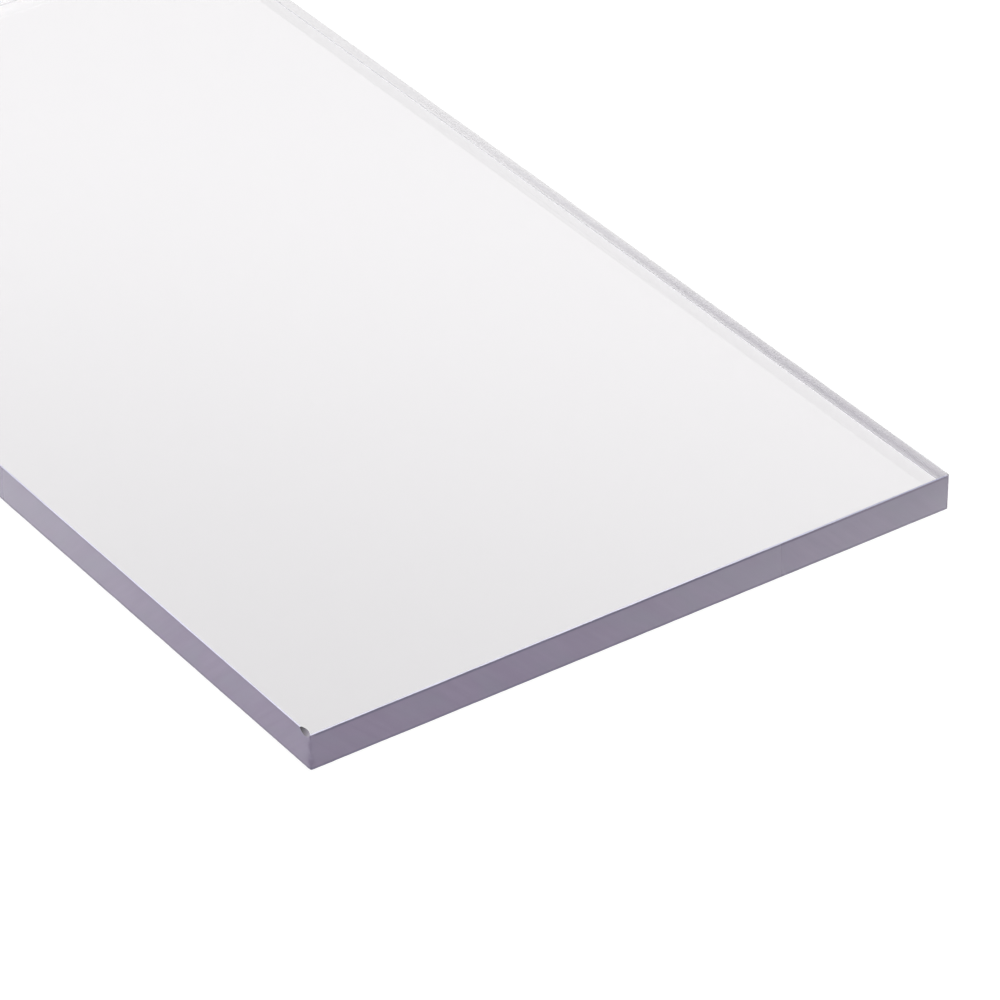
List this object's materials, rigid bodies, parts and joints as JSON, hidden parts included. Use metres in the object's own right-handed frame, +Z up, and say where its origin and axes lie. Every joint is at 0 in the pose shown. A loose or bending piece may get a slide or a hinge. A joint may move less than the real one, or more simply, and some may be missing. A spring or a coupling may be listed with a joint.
{
  "type": "polycarbonate sheet",
  "caption": "Flat rectangular panel of clear solid polycarbonate with square sawn edges and lightly scraped rims, for glazing, guards and covers.",
  "frame": {"origin": "middle of the lower face, which lies on the floor", "axes": "+Z up out of the upper face, +Y along the length away from the chipped front corner, +X along the width"},
  "size_m": [0.11, 0.2, 0.006],
  "materials": {
    "clear_polycarbonate": "polished clear faces, matt sawn edges with a violet-grey tint"
  },
  "bodies": {
    "root": {"sheet": "clear_polycarbonate"}
  },
  "joints": []
}
